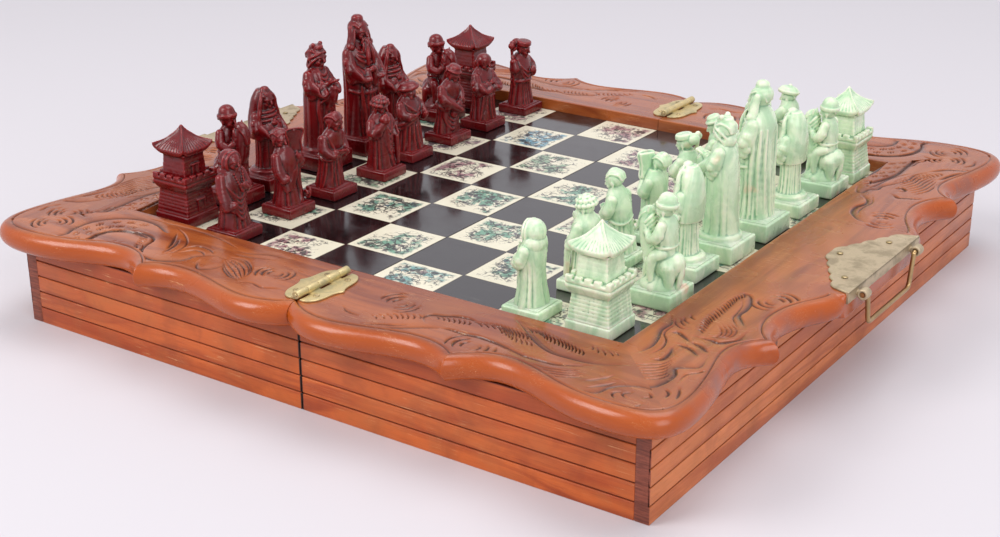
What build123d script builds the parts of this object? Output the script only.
from build123d import *
import math
import os

# Folding chess set, in millimetres. The case opens flat into two half boxes under a carved rim, and 32 cast
# men stand on the inlaid board. +X crosses the fold, +Y runs along it to the back, +Z is up, and the origin
# is under the middle of the case. Everything named left is at -X, and right is its twin at +X.

# Board
SQUARE = 40.0
SQUARES_PER_SIDE = 8
TILE_JOINT = 0.8  # dark line left between one inlaid tile and the next
TILE_THICKNESS = 1.2
TILE_CLEARANCE = 0.05
FIELD_CLEARANCE = 0.2  # round the raised field, inside the rim
FLANGE_THICKNESS = 4.0
FLANGE_CLEARANCE = 0.3

# Case walls
FOLD_GAP = 0.4
END_MARGIN = 43.0  # board edge to the outside of an end wall
SIDE_MARGIN = 47.0  # board edge to the outside of a side wall
WALL = 8.0
WALL_HEIGHT = 48.0
FLOOR = 4.0
SLATS = 5
GROOVE_WIDTH = 1.2
GROOVE_DEPTH = 1.0

# Carved rim
RIM_THICKNESS = 13.4
RIM_DROP = 7.5  # rim top down to the playing surface
NOSE = 3.6  # height of each eased part of the half-round edge
NOSE_INSET = 3.6
SEAT_REACH = 21.0  # the square-cut middle of each end rail, out from the end wall

# Handle plates and bails
PLATE = 1.0
PLATE_HALF_WIDTH = 48.0
PLATE_DEPTH = 31.0
PLATE_SHOULDER = 9.0
PLATE_SCALLOPS = 5
SCALLOP_DEPTH = 1.6
LIP_HEIGHT = 5.5
EYE_SPREAD = 36.0
EYE_WIDTH = 6.0
EYE_RADIUS = 2.9
EYE_STAND_OFF = 3.6
EYE_DROP = 2.6
WIRE = 2.6
WIRE_CLEARANCE = 0.1
BAIL_DROP = 19.0
GRIP_SPREAD = 27.0

# Hinges
LEAF = 1.0
LEAF_WIDTH = 14.5
HINGE_LENGTH = 41.0
HINGE_INSET = 19.5  # side wall's outside to the hinge's middle
BARREL_RADIUS = 2.2
BARREL_LIFT = 0.3
PIN_RADIUS = 1.0
PIN_CLEARANCE = 0.08
KNUCKLES = 5
KNUCKLE_GAP = 0.2
SCREW_SHANK = 0.8
SCREW_HEAD = 1.7
SCREW_DOME = 0.7
SCREW_LENGTH = 8.0
SCREW_CLEARANCE = 0.05

# Drawers
DRAWER_CLEARANCE = 0.5
DRAWER_LIFT = 0.2
DRAWER_HEIGHT = 36.0
DRAWER_END_GAP = 10.0  # left free inside the case, past the tray's far end
DRAWER_SIDE = 5.0
DRAWER_BOTTOM = 3.0
DIVIDER = 4.0
DIVIDER_DROP = 8.0
CELL_ROWS = 4
FRONT_GAP = 0.6
KNOB_RADIUS = 5.5
KNOB_STEM = 2.5
KNOB_REACH = 13.0

# Men: side of the plinth, height of the plinth, height over all
PAWN = (22.5, 6.0, 51.0)
ROOK = (25.5, 7.0, 57.0)
KNIGHT = (25.5, 8.5, 59.0)
BISHOP = (27.0, 8.0, 61.5)
QUEEN = (29.0, 10.0, 79.5)
KING = (30.5, 10.5, 88.5)
PLINTH_EDGE = 0.8

board_half = SQUARE * SQUARES_PER_SIDE / 2
fold_x = FOLD_GAP / 2
case_x = board_half + END_MARGIN
case_y = board_half + SIDE_MARGIN
inner_x = case_x - WALL
inner_y = case_y - WALL
rim_top = WALL_HEIGHT + RIM_THICKNESS
play_z = rim_top - RIM_DROP
flange_bottom = WALL_HEIGHT - FLANGE_THICKNESS
seat_x = case_x + SEAT_REACH
hinge_y = case_y - HINGE_INSET
drawer_length = 2 * inner_y - DRAWER_END_GAP
axis_z = rim_top + BARREL_LIFT + BARREL_RADIUS

os.makedirs("parts", exist_ok=True)


def block(x0, x1, y0, y1, z0, z1):
    """A box between two corners."""
    return Pos((x0 + x1) / 2, (y0 + y1) / 2, (z0 + z1) / 2) * Box(x1 - x0, y1 - y0, z1 - z0)


def write_node(name, *solids):
    """One node: its solids side by side, each kept as a solid of its own."""
    pieces = [s for group in solids for s in group.solids()]
    export_step(Compound(children=pieces, label=name), f"parts/{name}.step")


def rod(start, end, radius):
    """A round bar with square ends."""
    way = Vector(*end) - Vector(*start)
    bar = Cylinder(radius, way.length, align=(Align.CENTER, Align.CENTER, Align.MIN))
    return Plane(origin=start, z_dir=way) * bar


def limb(start, end, radius):
    """A round bar with ball ends, turned in one piece."""
    way = Vector(*end) - Vector(*start)
    long, r, k = way.length, radius, radius * math.sqrt(0.5)
    outline = (
        Line((0, -r), (0, long + r))
        + ThreePointArc((0, long + r), (k, long + k), (r, long))
        + Line((r, long), (r, 0))
        + ThreePointArc((r, 0), (k, -k), (0, -r))
    )
    turned = revolve(make_face(Plane.XZ * outline), Axis.Z)
    return Plane(origin=start, z_dir=way) * turned


def stack(sections):
    """A ruled loft through level ovals, each (z, middle x, middle y, half depth, half width)."""
    ovals = [Pos(x, y, z) * Ellipse(depth, max(width, depth + 0.01)) for z, x, y, depth, width in sections]
    return loft(ovals, ruled=True)


def taper(side0, z0, side1, z1):
    """A square block that narrows from one side length to another."""
    squares = [Pos(0, 0, z) * Rectangle(side, side) for side, z in ((side0, z0), (side1, z1))]
    return loft(squares, ruled=True)


def joined(*solids):
    """One solid from pieces that run into each other."""
    whole = solids[0]
    for piece in solids[1:]:
        whole = whole + piece
    return whole


# The rim's outer edge over one quarter, as (distance along the wall, reach past the wall's outside). Along a
# side rail the distance is counted from the fold, and along an end rail from the middle of the end.
SIDE_TO_CUSP = ((0.0, 8.0), (40.0, 15.7), (72.0, 8.0), (100.0, 15.5))
SIDE_TO_CORNER = ((131.0, 3.5), (160.0, 12.5), (180.0, 16.0))
CORNER = ((10.0, 8.5),)  # a point on the corner's round: past the end wall, past the side wall
END_TO_CORNER = ((119.0, 18.5), (143.0, 7.5), (162.0, 11.0), (178.0, 14.0))
END_TO_SEAT = ((56.0, 20.2), (66.0, 15.0), (88.0, 8.0), (119.0, 18.5))


def rim_outline(inset):
    """The right half's outline, drawn in by an inset: from the fold along the front, the end and the back."""
    side_cusp = [(x, case_y + reach - inset) for x, reach in SIDE_TO_CUSP]
    side_cusp[0] = (fold_x, side_cusp[0][1])
    round_corner = [side_cusp[-1]]
    round_corner += [(x, case_y + reach - inset) for x, reach in SIDE_TO_CORNER]
    round_corner += [(case_x + past_x - inset, case_y + past_y - inset) for past_x, past_y in CORNER]
    round_corner += [(case_x + reach - inset, y) for y, reach in reversed(END_TO_CORNER)]
    to_seat = [(case_x + reach - inset, y) for y, reach in reversed(END_TO_SEAT)]
    to_seat.append((seat_x, PLATE_HALF_WIDTH))
    quarter = [side_cusp, round_corner, to_seat]
    edges = [Spline(*[(x, -y) for x, y in run]) for run in quarter]
    edges.append(Line((seat_x, -PLATE_HALF_WIDTH), (seat_x, PLATE_HALF_WIDTH)))
    edges += [Spline(*run[::-1]) for run in quarter[::-1]]
    fold_y = side_cusp[0][1]
    edges.append(Line((fold_x, fold_y), (fold_x, -fold_y)))
    return make_face(Wire(edges))


def rim_rails():
    """Three mitred rails with their outer edges eased, drilled for the hinge screws and the plate's nails."""
    levels = ((0.0, NOSE_INSET), (NOSE, 0.0), (RIM_THICKNESS - NOSE, 0.0), (RIM_THICKNESS, NOSE_INSET))
    frame = loft([Pos(0, 0, WALL_HEIGHT + z) * rim_outline(inset) for z, inset in levels], ruled=True)
    frame -= block(fold_x - 1, board_half, -board_half, board_half, WALL_HEIGHT - 1, rim_top + 1)
    for x, y in hinge_screws() + plate_nails():
        frame -= Pos(x, y, rim_top) * Cylinder(SCREW_SHANK + SCREW_CLEARANCE, 2 * SCREW_LENGTH)
    reach = 2 * case_x
    corners = (
        (board_half, board_half), (board_half + reach, board_half + reach),
        (board_half + reach, -board_half - reach), (board_half, -board_half),
    )
    end_zone = extrude(make_face(Polyline(*corners, close=True)), 2 * rim_top)
    front_zone = block(-reach, reach, -2 * reach, 0, 0, 2 * rim_top) - end_zone
    back_zone = block(-reach, reach, 0, 2 * reach, 0, 2 * rim_top) - end_zone
    return [frame & front_zone, frame & end_zone, frame & back_zone]


def hinge_screws():
    """Two screws in each leaf of the front and back hinges, at +X."""
    along, across = HINGE_LENGTH * 0.3, LEAF_WIDTH * 0.46
    return [(across, side * hinge_y + step) for side in (-1, 1) for step in (-along, along)]


def plate_nails():
    """Three nails through the handle plate: one near the apex and one in each wing."""
    apex = seat_x + PLATE - PLATE_DEPTH
    wing_x = seat_x - PLATE_SHOULDER
    return [(apex + 5.5, 0.0), (wing_x, -PLATE_HALF_WIDTH * 0.62), (wing_x, PLATE_HALF_WIDTH * 0.62)]


def grooved(panel, x0, x1, y0, y1):
    """The panel with the level grooves between its slats cut out of a strip of its face."""
    for i in range(1, SLATS):
        z = i * WALL_HEIGHT / SLATS
        panel -= block(x0, x1, y0, y1, z - GROOVE_WIDTH / 2, z + GROOVE_WIDTH / 2)
    return panel


def end_panel():
    """The end wall, with its grooves running out at both corners."""
    panel = block(inner_x, case_x, -case_y, case_y, 0, WALL_HEIGHT)
    return grooved(panel, case_x - GROOVE_DEPTH, case_x, -case_y, case_y)


def front_panel():
    """The front side wall, between the fold and the end wall."""
    panel = block(fold_x, inner_x, -case_y, -inner_y, 0, WALL_HEIGHT)
    return grooved(panel, fold_x, inner_x, -case_y, GROOVE_DEPTH - case_y)


def tile_centres(light):
    """Middles of the right half's squares of one colour; the square at the near right corner is dark."""
    rows = SQUARES_PER_SIDE
    return [
        ((i + 0.5) * SQUARE, (j + 0.5) * SQUARE - board_half)
        for i in range(rows // 2)
        for j in range(rows)
        if ((i + j) % 2 == 0) == light
    ]


def board(mirrored):
    """The black panel: a flange held under the rim, and a raised field with a pocket for each light tile."""
    panel = block(
        fold_x, inner_x - FLANGE_CLEARANCE, -inner_y + FLANGE_CLEARANCE, inner_y - FLANGE_CLEARANCE,
        flange_bottom, WALL_HEIGHT,
    )
    field = board_half - FIELD_CLEARANCE
    panel += block(fold_x, field, -field, field, WALL_HEIGHT, play_z)
    size = SQUARE - TILE_JOINT + 2 * TILE_CLEARANCE
    for x, y in tile_centres(not mirrored):
        panel -= Pos(x, y, play_z) * Box(size, size, 2 * TILE_THICKNESS)
    return panel


def tiles(mirrored):
    """The printed tiles, flush with the black field."""
    size = SQUARE - TILE_JOINT
    return [
        Pos(x, y, play_z - TILE_THICKNESS / 2) * Box(size, size, TILE_THICKNESS)
        for x, y in tile_centres(not mirrored)
    ]


def plate_outline():
    """The bat-wing plate: straight along the rim's edge, its slanting sides cut in small scallops."""
    outer = seat_x + PLATE
    shoulder = (outer - PLATE_SHOULDER, PLATE_HALF_WIDTH - SCALLOP_DEPTH * 2)
    apex = (outer - PLATE_DEPTH, 3.0)
    points = [(outer, PLATE_HALF_WIDTH), shoulder]
    for i in range(PLATE_SCALLOPS):
        a, b = i / PLATE_SCALLOPS, (i + 1) / PLATE_SCALLOPS
        middle = (a + b) / 2
        nx, ny = shoulder[1] - apex[1], apex[0] - shoulder[0]
        size = math.hypot(nx, ny)
        bump = SCALLOP_DEPTH / size
        points.append(
            (
                shoulder[0] + (apex[0] - shoulder[0]) * middle - nx * bump,
                shoulder[1] + (apex[1] - shoulder[1]) * middle - ny * bump,
            )
        )
        points.append(
            (shoulder[0] + (apex[0] - shoulder[0]) * b, shoulder[1] + (apex[1] - shoulder[1]) * b)
        )
    mirrored = [(x, -y) for x, y in points[::-1]]
    return make_face(Polyline(*points, *mirrored, close=True))


def eye_centre():
    """Where the bail turns: out past the plate's lip and a little under the rim's top."""
    return seat_x + PLATE + EYE_STAND_OFF, rim_top - EYE_DROP


def handle_plate():
    """Plate, lip and the two eyes that hold the bail, pressed from one sheet with the eyes brazed on."""
    plate = Pos(0, 0, rim_top) * extrude(plate_outline(), PLATE)
    lip = block(
        seat_x, seat_x + PLATE, -PLATE_HALF_WIDTH, PLATE_HALF_WIDTH, rim_top - LIP_HEIGHT, rim_top + PLATE
    )
    plate += lip
    x, z = eye_centre()
    for side in (-1, 1):
        y = side * EYE_SPREAD
        plate += rod((x, y - EYE_WIDTH / 2, z), (x, y + EYE_WIDTH / 2, z), EYE_RADIUS)
        plate += rod((seat_x + PLATE / 2, y, z), (x, y, z), EYE_RADIUS * 0.6)
    for side in (-1, 1):
        y = side * EYE_SPREAD
        plate -= rod((x, y - EYE_WIDTH, z), (x, y + EYE_WIDTH, z), WIRE / 2 + WIRE_CLEARANCE)
    for nail_x, nail_y in plate_nails():
        plate -= Pos(nail_x, nail_y, rim_top) * Cylinder(SCREW_SHANK + SCREW_CLEARANCE, 4 * PLATE)
    return plate


def bail():
    """The wire handle: a grip, two legs that spread upwards, and a pin at the top of each leg in its eye."""
    x, z = eye_centre()
    top_y = EYE_SPREAD - EYE_WIDTH / 2 - WIRE / 2 - WIRE_CLEARANCE
    tip_y = EYE_SPREAD + EYE_WIDTH / 2
    low = z - BAIL_DROP
    wire = rod((x, -GRIP_SPREAD, low), (x, GRIP_SPREAD, low), WIRE / 2)
    for side in (-1, 1):
        wire += Pos(x, side * GRIP_SPREAD, low) * Sphere(WIRE / 2)
        wire += rod((x, side * GRIP_SPREAD, low), (x, side * top_y, z), WIRE / 2)
        wire += Pos(x, side * top_y, z) * Sphere(WIRE / 2)
        wire += rod((x, side * top_y, z), (x, side * tip_y, z), WIRE / 2)
    return wire


def leaf_outline():
    """A hinge leaf seen from above, about its middle: a straight root, two round shoulders and a central point."""
    half = HINGE_LENGTH / 2
    root, edge = BARREL_RADIUS + 0.6, LEAF_WIDTH
    side = [
        (root, half), (edge * 0.4, half * 0.99), (edge * 0.57, half * 0.92), (edge * 0.71, half * 0.78),
        (edge * 0.78, half * 0.6), (edge * 0.81, half * 0.42), (edge * 0.84, half * 0.25), (edge * 0.9, half * 0.12),
    ]
    return side + [(edge, 0.0)] + [(x, -y) for x, y in side[::-1]]


def knuckle_spans(owner):
    """The stretches of barrel that belong to the left (0) or right (1) leaf, as offsets from the middle."""
    pitch = HINGE_LENGTH / KNUCKLES
    return [
        (i * pitch - HINGE_LENGTH / 2 + KNUCKLE_GAP / 2, (i + 1) * pitch - HINGE_LENGTH / 2 - KNUCKLE_GAP / 2)
        for i in range(KNUCKLES)
        if i % 2 == owner
    ]


def hinge_leaf(y, owner):
    """One leaf with its knuckles. The left leaf also grips the pin; the right leaf turns on it."""
    way = 1 if owner else -1
    outline = [(way * px, y + py) for px, py in leaf_outline()]
    leaf = Pos(0, 0, rim_top) * extrude(make_face(Polyline(*outline, close=True)), LEAF)
    for a, b in knuckle_spans(owner):
        leaf += rod((0, y + a, axis_z), (0, y + b, axis_z), BARREL_RADIUS)
        root = way * (BARREL_RADIUS + 1.2)
        leaf += block(min(0, root), max(0, root), y + a, y + b, rim_top + LEAF * 0.4, rim_top + LEAF)
    for px, py in hinge_screws():
        if abs(py - y) < HINGE_LENGTH / 2:
            leaf -= Pos(way * px, py, rim_top) * Cylinder(SCREW_SHANK + SCREW_CLEARANCE, 4 * LEAF)
    ends = (0, y - HINGE_LENGTH / 2, axis_z), (0, y + HINGE_LENGTH / 2, axis_z)
    if owner:
        leaf -= rod(*ends, PIN_RADIUS + PIN_CLEARANCE)
    else:
        leaf += rod(*ends, PIN_RADIUS)
    return leaf


def screw(x, y, under_head):
    """A domed screw or nail standing in its hole."""
    up, down = (Align.CENTER, Align.CENTER, Align.MIN), (Align.CENTER, Align.CENTER, Align.MAX)
    shank = Cylinder(SCREW_SHANK, SCREW_LENGTH * 0.9, align=down)
    return Pos(x, y, under_head) * (shank + Cone(SCREW_HEAD, SCREW_HEAD * 0.6, SCREW_DOME, align=up))


def drawer_tray():
    """The tray: bottom, four sides and low dividers that make two rows of cells."""
    x0, x1 = fold_x + WALL + DRAWER_CLEARANCE, inner_x - DRAWER_CLEARANCE
    y1 = inner_y
    y0 = y1 - drawer_length
    z0 = FLOOR + DRAWER_LIFT
    z1 = z0 + DRAWER_HEIGHT
    tray = block(x0, x1, y0, y1, z0, z1)
    for a, b, c, d in drawer_cells():
        tray -= block(a, b, c, d, z0 + DRAWER_BOTTOM, z1)
    tray -= block(
        x0 + DRAWER_SIDE, x1 - DRAWER_SIDE, y0 + DRAWER_SIDE, y1 - DRAWER_SIDE, z1 - DIVIDER_DROP, z1
    )
    return tray


def drawer_cells():
    """The cells inside the tray, as x from, x to, y from, y to."""
    x0 = fold_x + WALL + DRAWER_CLEARANCE + DRAWER_SIDE
    x1 = inner_x - DRAWER_CLEARANCE - DRAWER_SIDE
    y0, y1 = inner_y - drawer_length + DRAWER_SIDE, inner_y - DRAWER_SIDE
    across = (x1 - x0 - DIVIDER) / 2
    along = (y1 - y0 - (CELL_ROWS - 1) * DIVIDER) / CELL_ROWS
    return [
        (
            x0 + i * (across + DIVIDER), x0 + i * (across + DIVIDER) + across,
            y0 + j * (along + DIVIDER), y0 + j * (along + DIVIDER) + along,
        )
        for i in range(2)
        for j in range(CELL_ROWS)
    ]


def drawer_front():
    """The back side wall of the half, which is the drawer's grooved front, bored for the knob's stem."""
    x0, x1 = fold_x + FRONT_GAP, inner_x - FRONT_GAP
    panel = block(x0, x1, inner_y, case_y, FRONT_GAP, WALL_HEIGHT - FRONT_GAP)
    panel = grooved(panel, x0, x1, case_y - GROOVE_DEPTH, case_y)
    x, z = knob_place()
    return panel - rod((x, inner_y - 1, z), (x, case_y + 1, z), KNOB_STEM)


def knob_place():
    """The knob sits in the middle of the drawer's front."""
    return (fold_x + inner_x) / 2, WALL_HEIGHT / 2


def drawer_knob():
    """A turned knob: stem through the front, narrow neck, round button."""
    x, z = knob_place()
    foot, face = KNOB_RADIUS * 0.8, WALL
    profile = [
        (0, 0), (KNOB_STEM, 0), (KNOB_STEM, face), (foot, face), (foot, face + 1.2), (KNOB_STEM, face + 2.4),
        (KNOB_STEM, face + KNOB_REACH * 0.45), (KNOB_RADIUS, face + KNOB_REACH * 0.65),
        (KNOB_RADIUS, face + KNOB_REACH * 0.85), (KNOB_RADIUS * 0.6, face + KNOB_REACH),
        (0, face + KNOB_REACH),
    ]
    turned = revolve(make_face(Plane.XZ * Polyline(*profile, close=True)), Axis.Z)
    return Plane(origin=(x, inner_y, z), x_dir=(1, 0, 0), z_dir=(0, 1, 0)) * turned


# Each man faces +X, with its origin under the middle of its plinth. A body is described by level ovals whose
# heights are shares of the height from the plinth to the top, and their radii shares of the plinth's side.


def plinth(man):
    """The square foot, its upper edges eased."""
    side, height, _ = man
    foot = Pos(0, 0, height / 2) * Box(side, side, height)
    return chamfer(foot.faces().sort_by(Axis.Z)[-1].edges(), PLINTH_EDGE)


def rise(man, share):
    """The height that is a share of the way from the plinth's top to the man's top."""
    return man[1] + share * (man[2] - man[1])


def ovals_of(man, rows):
    """A man's level ovals in millimetres."""
    side = man[0]
    return [(rise(man, z), x * side, y * side, depth * side, width * side) for z, x, y, depth, width in rows]


def robe(man, rows):
    """A robed body, rooted a little way down in the plinth."""
    ovals = ovals_of(man, rows)
    return stack([(man[1] - PLINTH_EDGE / 2, *ovals[0][1:]), *ovals[1:]])


def at(man, x, y, share):
    """A place on a man: two shares of the plinth's side and one of the height above it."""
    return x * man[0], y * man[0], rise(man, share)


def ball(man, x, y, share, radius):
    """A round form, its radius a share of the plinth's side."""
    return Pos(*at(man, x, y, share)) * Sphere(radius * man[0])


def arm(man, start, end, radius):
    """A sleeve or staff from one place to another."""
    return limb(at(man, *start), at(man, *end), radius * man[0])


SAGE_ROBE = (
    (0.0, 0.0, 0.0, 0.34, 0.43), (0.12, 0.0, 0.0, 0.31, 0.4), (0.42, 0.01, 0.0, 0.29, 0.38),
    (0.6, 0.0, 0.0, 0.29, 0.42), (0.72, -0.02, 0.0, 0.24, 0.36), (0.8, 0.0, 0.0, 0.14, 0.2),
)
LEANING_ROBE = (
    (0.0, -0.06, 0.0, 0.3, 0.4), (0.2, -0.05, 0.0, 0.27, 0.36), (0.45, 0.0, 0.0, 0.26, 0.34),
    (0.62, 0.05, 0.0, 0.27, 0.38), (0.74, 0.09, 0.0, 0.22, 0.33), (0.8, 0.12, 0.0, 0.13, 0.18),
)


def head(man, x=0.03, y=0.0, share=0.875, radius=0.25):
    """A head of plain round form."""
    return ball(man, x, y, share, radius)


def pawn_hooded():
    """Hooded sage, one sleeve down and one hand at the beads."""
    return joined(
        plinth(PAWN), robe(PAWN, SAGE_ROBE),
        head(PAWN, radius=0.27, share=0.865), ball(PAWN, -0.05, 0, 0.78, 0.26),
        arm(PAWN, (0.0, -0.34, 0.66), (0.14, -0.3, 0.34), 0.15),
        arm(PAWN, (0.0, 0.34, 0.66), (0.28, 0.12, 0.5), 0.15),
    )


def pawn_with_fan():
    """Sage with a square fan held up beside the head."""
    fan = Pos(*at(PAWN, 0.2, 0.12, 0.86)) * Rot(0, 0, 35) * Box(PAWN[0] * 0.16, PAWN[0] * 0.42, PAWN[0] * 0.5)
    return joined(
        plinth(PAWN), robe(PAWN, SAGE_ROBE), head(PAWN, x=-0.08, y=-0.1, share=0.865),
        arm(PAWN, (0.0, 0.34, 0.66), (0.2, 0.16, 0.72), 0.14), fan,
        arm(PAWN, (0.0, -0.34, 0.66), (0.24, -0.24, 0.4), 0.15),
    )


def pawn_with_bowl():
    """Bald sage leaning over a bowl held in both hands."""
    return joined(
        plinth(PAWN), robe(PAWN, LEANING_ROBE), head(PAWN, x=0.15, share=0.87, radius=0.26),
        ball(PAWN, 0.34, 0, 0.5, 0.19), arm(PAWN, (0.06, -0.34, 0.66), (0.3, -0.1, 0.48), 0.14),
        arm(PAWN, (0.06, 0.34, 0.66), (0.3, 0.1, 0.48), 0.14),
    )


def pawn_with_peach():
    """Sage who holds a peach to the chest, with a curled scarf at one side."""
    return joined(
        plinth(PAWN), robe(PAWN, SAGE_ROBE),
        head(PAWN, share=0.868, radius=0.265), ball(PAWN, 0.28, -0.08, 0.68, 0.15),
        arm(PAWN, (0.0, -0.34, 0.62), (0.24, -0.18, 0.6), 0.15),
        arm(PAWN, (0.06, 0.34, 0.6), (0.2, 0.34, 0.4), 0.14),
    )


def pawn_with_hat():
    """Sage in a broad flat hat, one arm out to the side."""
    brim = Pos(*at(PAWN, 0.02, 0, 0.93)) * Cylinder(PAWN[0] * 0.34, PAWN[0] * 0.14)
    return joined(
        plinth(PAWN), robe(PAWN, SAGE_ROBE), head(PAWN, share=0.85), brim,
        arm(PAWN, (0.0, -0.34, 0.64), (0.26, -0.28, 0.5), 0.14),
        arm(PAWN, (0.0, 0.34, 0.64), (0.3, 0.26, 0.48), 0.14),
    )


def pawn_bowing():
    """Sage who bows, long sleeve across a broad sash."""
    return joined(
        plinth(PAWN), robe(PAWN, LEANING_ROBE), head(PAWN, x=0.17, y=0.05, share=0.855, radius=0.25),
        ball(PAWN, 0.13, 0.06, 0.945, 0.13), arm(PAWN, (0.04, -0.33, 0.66), (0.3, -0.06, 0.4), 0.16),
        arm(PAWN, (0.04, 0.33, 0.64), (0.3, 0.1, 0.44), 0.14),
    )


def pawn_with_pack():
    """Sage with sleeves clasped in front and a pack standing behind one shoulder."""
    pack = Pos(*at(PAWN, -0.22, 0.2, 0.76)) * Box(PAWN[0] * 0.24, PAWN[0] * 0.2, PAWN[0] * 0.36)
    return joined(
        plinth(PAWN), robe(PAWN, SAGE_ROBE), head(PAWN, share=0.868, radius=0.26), pack,
        arm(PAWN, (0.02, -0.34, 0.64), (0.28, -0.06, 0.5), 0.16),
        arm(PAWN, (0.02, 0.34, 0.64), (0.28, 0.06, 0.5), 0.16),
    )


def pawn_with_staff():
    """Sage with a knotted staff raised behind the head."""
    return joined(
        plinth(PAWN), robe(PAWN, SAGE_ROBE), head(PAWN, x=0.12, share=0.88, radius=0.24),
        ball(PAWN, -0.06, -0.02, 0.93, 0.2), arm(PAWN, (0.0, -0.34, 0.64), (-0.08, -0.34, 0.9), 0.12),
        ball(PAWN, -0.08, -0.34, 0.95, 0.13), arm(PAWN, (0.02, 0.34, 0.66), (0.28, 0.14, 0.5), 0.15),
    )


def rook():
    """A square tower: stepped foot, brick block, parapet with notches, small upper room and a hipped roof."""
    side, foot, top = ROOK
    body_top, ledge, parapet = rise(ROOK, 0.272), rise(ROOK, 0.344), rise(ROOK, 0.47)
    room_top, roof = rise(ROOK, 0.688), rise(ROOK, 0.715)
    wide = side * 1.02
    tower = joined(
        plinth(ROOK), taper(side * 0.98, foot - PLINTH_EDGE, side * 0.84, body_top),
        taper(side * 0.84, body_top - 0.2, wide, ledge), taper(wide, ledge - 0.2, wide, parapet),
    )
    well = wide - 2 * side * 0.1
    tower -= Pos(0, 0, parapet) * Box(well, well, (parapet - ledge) * 0.667)
    notch = side * 0.1
    for step in (-0.36, -0.12, 0.12, 0.36):
        tower -= Pos(0, step * side, parapet) * Box(2 * wide, notch, notch * 1.5)
        tower -= Pos(step * side, 0, parapet) * Box(notch, 2 * wide, notch * 1.5)
    room = taper(side * 0.7, ledge - 0.2, side * 0.62, room_top)
    eave = side * 0.86
    roof_low = taper(side * 0.62, room_top - 0.3, eave, room_top + 1.6)
    roof_edge = taper(eave, room_top + 1.5, eave, room_top + 3.0)
    roof_mid = taper(eave, room_top + 2.9, side * 0.58, roof + (top - roof) * 0.32)
    roof_high = taper(side * 0.58, roof + (top - roof) * 0.31, side * 0.28, roof + (top - roof) * 0.62)
    peak = taper(side * 0.28, roof + (top - roof) * 0.61, side * 0.05, top)
    return joined(tower, room, roof_low, roof_edge, roof_mid, roof_high, peak)


def knight():
    """A rider in a round hat on a standing horse whose head is held high in front."""
    man = KNIGHT
    barrel = arm(man, (-0.26, 0, 0.27), (0.16, 0, 0.27), 0.24)
    mound_rows = ((0.0, 0.0, 0.0, 0.42, 0.43), (0.08, 0.0, 0.0, 0.38, 0.4), (0.2, 0.0, 0.0, 0.26, 0.27))
    mound = robe(man, mound_rows)
    neck = arm(man, (0.2, 0, 0.34), (0.33, 0, 0.68), 0.14)
    muzzle = arm(man, (0.33, 0, 0.69), (0.45, 0, 0.56), 0.1)
    rider_rows = (
        (0.3, -0.1, 0.0, 0.2, 0.28), (0.46, -0.1, 0.0, 0.21, 0.29), (0.62, -0.08, 0.0, 0.22, 0.3),
        (0.76, -0.08, 0.0, 0.13, 0.17),
    )
    rider = stack(ovals_of(man, rider_rows))
    legs = [arm(man, (-0.06, side * 0.24, 0.42), (0.06, side * 0.27, 0.16), 0.1) for side in (-1, 1)]
    arms = [arm(man, (-0.04, side * 0.26, 0.62), (0.26, side * 0.08, 0.54), 0.08) for side in (-1, 1)]
    skull = ball(man, -0.07, 0, 0.83, 0.2)
    brim = Pos(*at(man, -0.07, 0, 0.87)) * Cylinder(man[0] * 0.25, man[0] * 0.09)
    crown = ball(man, -0.07, 0, 0.91, 0.18)
    return joined(plinth(man), mound, barrel, neck, muzzle, rider, *legs, *arms, skull, brim, crown)


def bishop():
    """A hooded robed figure on a round step, its wide sleeves joined in front."""
    man = BISHOP
    rows = (
        (0.0, 0.0, 0.0, 0.36, 0.38), (0.07, 0.0, 0.0, 0.3, 0.33), (0.1, 0.0, 0.0, 0.25, 0.29),
        (0.36, 0.0, 0.0, 0.22, 0.27), (0.5, 0.02, 0.0, 0.25, 0.33), (0.68, 0.0, 0.0, 0.24, 0.34),
        (0.78, -0.02, 0.0, 0.18, 0.25), (0.86, -0.02, 0.0, 0.17, 0.19),
    )
    return joined(
        plinth(man), robe(man, rows), ball(man, 0.02, 0, 0.875, 0.22), ball(man, -0.04, 0, 0.92, 0.16),
        arm(man, (0.0, -0.28, 0.66), (0.24, -0.06, 0.54), 0.16),
        arm(man, (0.0, 0.28, 0.66), (0.24, 0.06, 0.54), 0.16),
        arm(man, (0.22, 0, 0.44), (0.22, 0, 0.6), 0.14),
    )


def queen():
    """A slim lady in a long gown, who carries a flat tablet; her crown has two knobs."""
    man = QUEEN
    rows = (
        (0.0, 0.0, 0.0, 0.4, 0.42), (0.04, 0.0, 0.0, 0.33, 0.36), (0.3, 0.0, 0.0, 0.27, 0.3),
        (0.55, 0.0, 0.0, 0.24, 0.28), (0.68, 0.0, 0.0, 0.22, 0.27), (0.78, -0.01, 0.0, 0.15, 0.2),
        (0.82, 0.0, 0.0, 0.1, 0.11),
    )
    tablet = Pos(*at(man, 0.4, 0, 0.63)) * Rot(0, -28, 0) * Box(man[0] * 0.34, man[0] * 0.2, man[0] * 0.05)
    knobs = [ball(man, 0.04, side * 0.1, 0.975, 0.055) for side in (-1, 1)]
    return joined(
        plinth(man), robe(man, rows), ball(man, 0.02, 0, 0.868, 0.225), ball(man, 0.0, 0, 0.935, 0.14),
        arm(man, (0.0, -0.22, 0.69), (0.26, -0.06, 0.56), 0.14),
        arm(man, (0.0, 0.22, 0.69), (0.26, 0.06, 0.56), 0.14),
        tablet, *knobs,
    )


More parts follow.
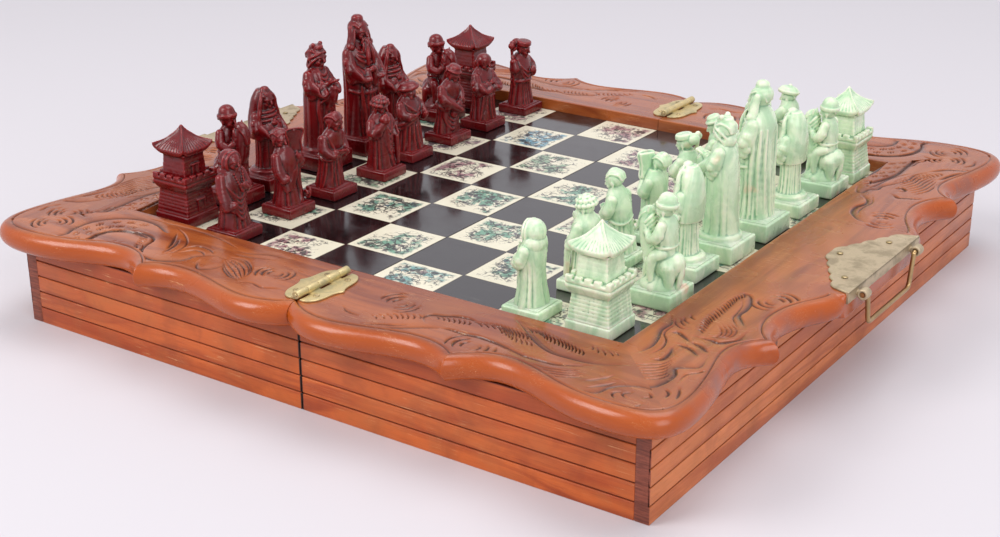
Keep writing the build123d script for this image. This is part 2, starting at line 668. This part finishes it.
def king():
    """The tallest man: a broad long robe, folded arms, a long beard and a high cap."""
    man = KING
    rows = (
        (0.0, 0.0, 0.0, 0.4, 0.42), (0.05, 0.0, 0.0, 0.34, 0.39), (0.35, 0.0, 0.0, 0.3, 0.37),
        (0.58, 0.0, 0.0, 0.29, 0.38), (0.7, -0.02, 0.0, 0.25, 0.36), (0.77, -0.03, 0.0, 0.16, 0.24),
        (0.82, -0.02, 0.0, 0.13, 0.15),
    )
    beard_rows = ((0.56, 0.24, 0.0, 0.03, 0.04), (0.68, 0.2, 0.0, 0.07, 0.1), (0.84, 0.14, 0.0, 0.09, 0.12))
    beard = stack(ovals_of(man, beard_rows))
    return joined(
        plinth(man), robe(man, rows), ball(man, 0.03, 0, 0.86, 0.22), beard,
        arm(man, (-0.06, 0, 0.9), (-0.04, 0, 0.94), 0.15),
        arm(man, (0.0, -0.31, 0.66), (0.27, -0.08, 0.52), 0.15),
        arm(man, (0.0, 0.31, 0.66), (0.27, 0.08, 0.52), 0.15),
    )


RED_PAWNS = (
    pawn_hooded, pawn_with_fan, pawn_with_bowl, pawn_with_peach,
    pawn_with_hat, pawn_bowing, pawn_with_pack, pawn_with_staff,
)
GREEN_PAWNS = (
    pawn_hooded, pawn_with_peach, pawn_with_bowl, pawn_with_fan,
    pawn_with_staff, pawn_bowing, pawn_with_pack, pawn_with_hat,
)
BACK_RANK = (
    ("rook_front", rook), ("knight_front", knight), ("bishop_front", bishop), ("queen", queen),
    ("king", king), ("bishop_back", bishop), ("knight_back", knight), ("rook_back", rook),
)


# How far each man is set down from the middle of its square, from the front row to the back row of squares.
RED_RANK_STEPS = ((0, -0.5), (0, -1), (-4.5, -7), (-1, -1.5), (-1, 0), (-4, -5.5), (2, 1.5), (0, 1))
RED_PAWN_STEPS = ((0, -4.4), (-0.8, 2), (0, 0), (3.2, 4), (-4.4, 2.4), (-4.8, 5), (-3.2, 2.8), (-2, 7))
GREEN_RANK_STEPS = ((-5.2, 1.2), (1.6, 9), (-6, 10), (-3.2, 3.6), (-2.8, 4.4), (-2, 8), (0, 9), (0, 2))
GREEN_PAWN_STEPS = ((-3, -1.5), (1.5, 2), (-3, 4), (-3, 2), (-5, 2), (-4, 2), (-3, 3), (-1, 7))


def write_army(army, side, turn, rank_steps, pawns, pawn_steps):
    """One army on its squares, its men turned by an angle from facing +X."""
    back_rank_x = side * (board_half - SQUARE / 2)
    for j in range(SQUARES_PER_SIDE):
        y = (j + 0.5) * SQUARE - board_half
        name, mould = BACK_RANK[j]
        pawn_x = back_rank_x - side * SQUARE
        rows = ((name, mould, back_rank_x, rank_steps), (f"pawn_{j + 1}", pawns[j], pawn_x, pawn_steps))
        for word, cast, x, steps in rows:
            dx, dy = steps[j]
            write_node(f"{army}_{word}", Pos(x + dx, y + dy, play_z) * Rot(0, 0, turn) * cast())


def write_half(name, mirrored):
    """The nodes of one half box; the left half mirrors the right one, apart from board and hinge."""

    def placed(solid):
        return mirror(solid, Plane.YZ) if mirrored else solid

    owner = 0 if mirrored else 1
    write_node(f"{name}_rim", *[placed(rail) for rail in rim_rails()])
    write_node(f"{name}_front_panel", placed(front_panel()))
    write_node(f"{name}_end_panel", placed(end_panel()))
    write_node(
        f"{name}_spine_panel",
        placed(block(fold_x, fold_x + WALL, -inner_y, inner_y, FLOOR, flange_bottom)),
    )
    write_node(f"{name}_bottom_panel", placed(block(fold_x, inner_x, -inner_y, inner_y, 0, FLOOR)))
    write_node(f"{name}_board", placed(board(mirrored)))
    write_node(f"{name}_light_squares", *[placed(tile) for tile in tiles(mirrored)])
    write_node(f"{name}_handle_plate", placed(handle_plate()))
    write_node(f"{name}_handle", placed(bail()))
    write_node(f"{name}_hinge_leaves", hinge_leaf(-hinge_y, owner), hinge_leaf(hinge_y, owner))
    fixings = [screw(x, y, rim_top + LEAF) for x, y in hinge_screws()]
    fixings += [screw(x, y, rim_top + PLATE) for x, y in plate_nails()]
    write_node(f"{name}_screws", *[placed(one) for one in fixings])
    write_node(f"{name}_drawer_tray", placed(drawer_tray()))
    write_node(f"{name}_drawer_front", placed(drawer_front()))
    write_node(f"{name}_drawer_knob", placed(drawer_knob()))


write_half("left", True)
write_half("right", False)
write_army("red", -1, 0, RED_RANK_STEPS, RED_PAWNS, RED_PAWN_STEPS)
write_army("green", 1, 180, GREEN_RANK_STEPS, GREEN_PAWNS, GREEN_PAWN_STEPS)
